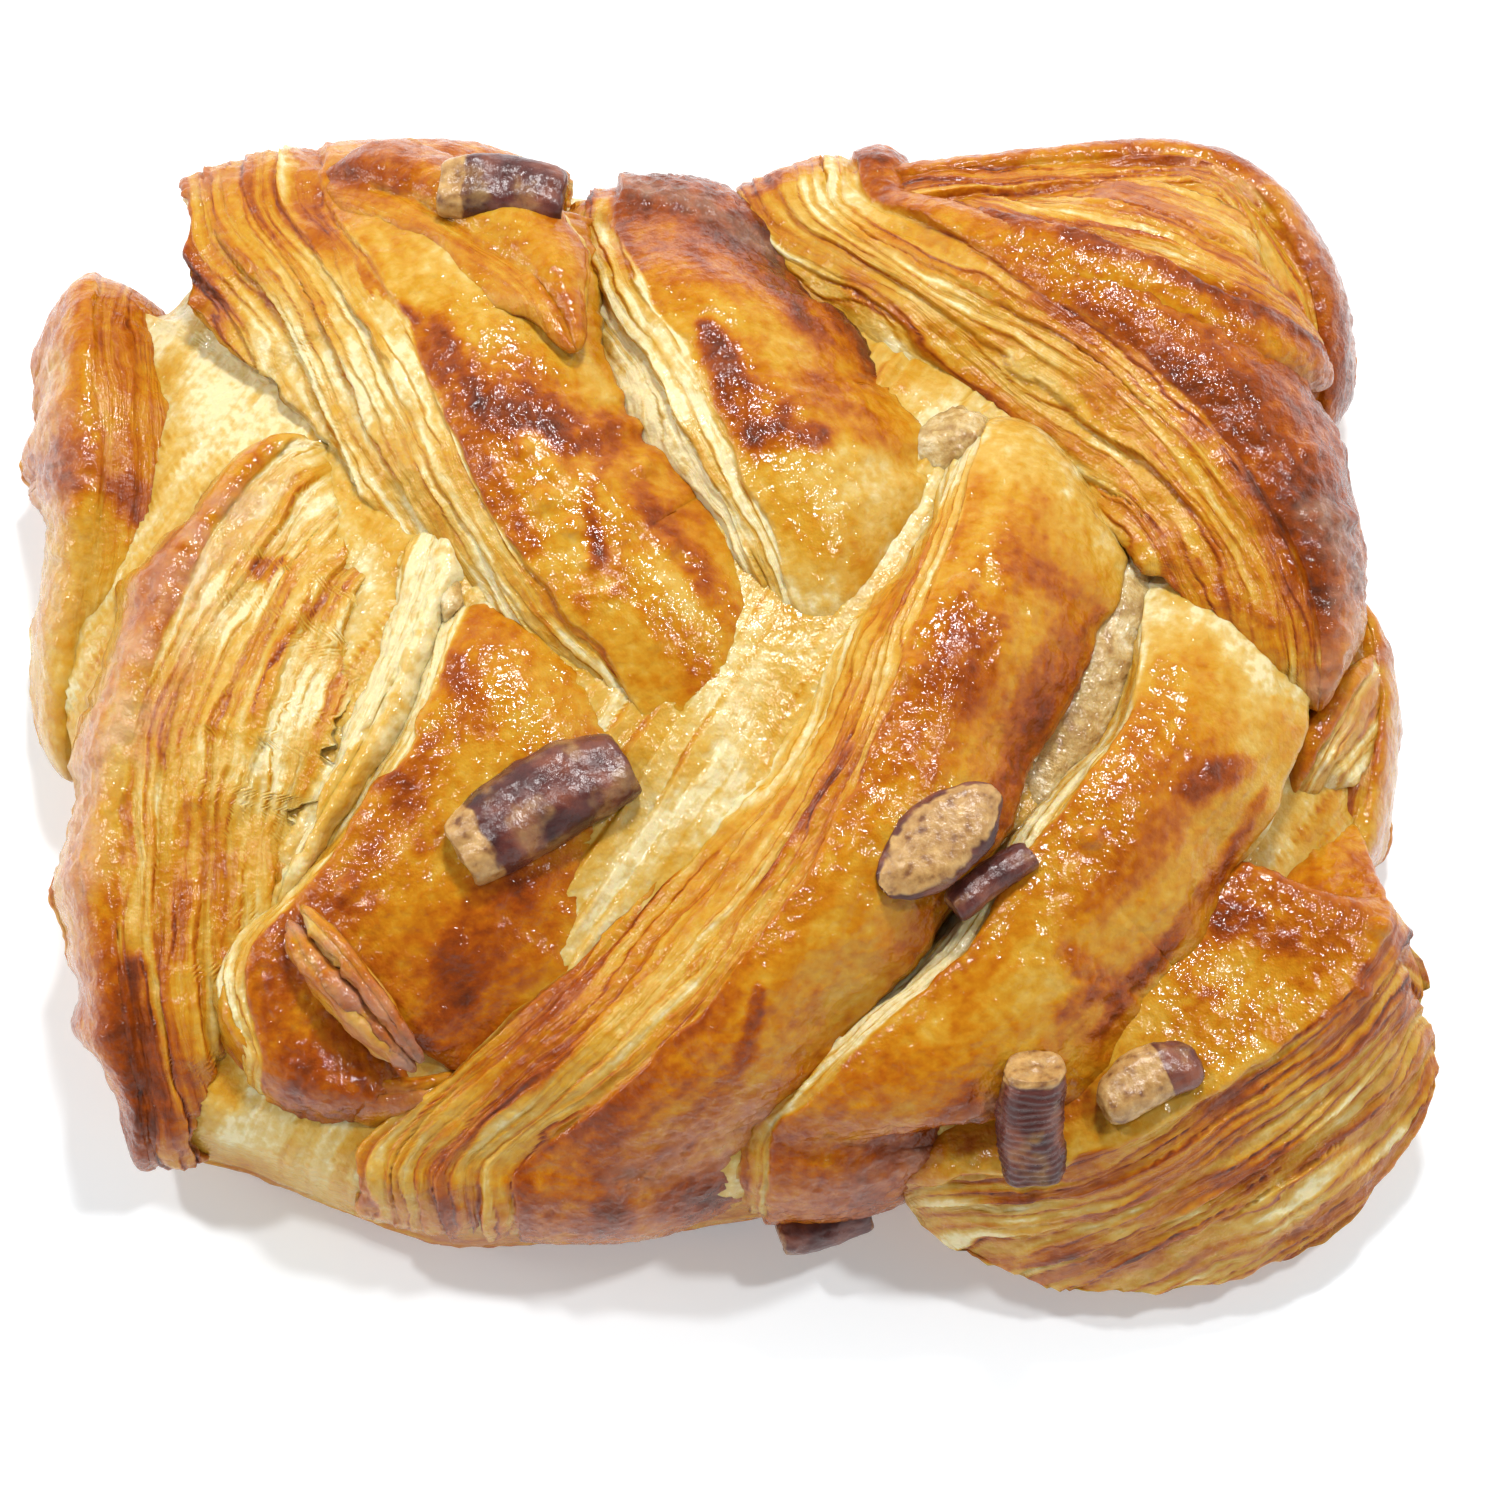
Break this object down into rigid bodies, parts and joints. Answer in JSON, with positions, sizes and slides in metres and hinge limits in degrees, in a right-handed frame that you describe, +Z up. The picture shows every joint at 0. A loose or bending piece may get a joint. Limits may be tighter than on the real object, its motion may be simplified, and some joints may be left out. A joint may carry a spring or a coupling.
{
  "type": "danish pastry",
  "caption": "Baked pecan plait: glazed, layered dough strips crossed over a soft nut filling, with pecan pieces on top.",
  "frame": {"origin": "on the flat underside, below the middle of the part's bounding box", "axes": "+X along the plait's length, from the end with the pale inner dough to the end with the thick rolled rim; +Y across it, from the front edge to the back edge; +Z up, out of the flat underside"},
  "size_m": [0.1204, 0.1038, 0.0373],
  "materials": {
    "pastry": "glazed golden-brown laminated dough",
    "filling": "soft sticky tan filling with a wet shine",
    "pecan": "toasted nut, dark ridged skin and tan broken faces"
  },
  "bodies": {
    "root": {"pastry": "pastry", "filling": "filling", "pecan_log": "pecan", "pecan_slice": "pecan", "pecan_sliver": "pecan", "pecan_stub": "pecan", "pecan_crumb": "pecan", "pecan_back": "pecan", "pecan_front": "pecan"}
  },
  "joints": []
}
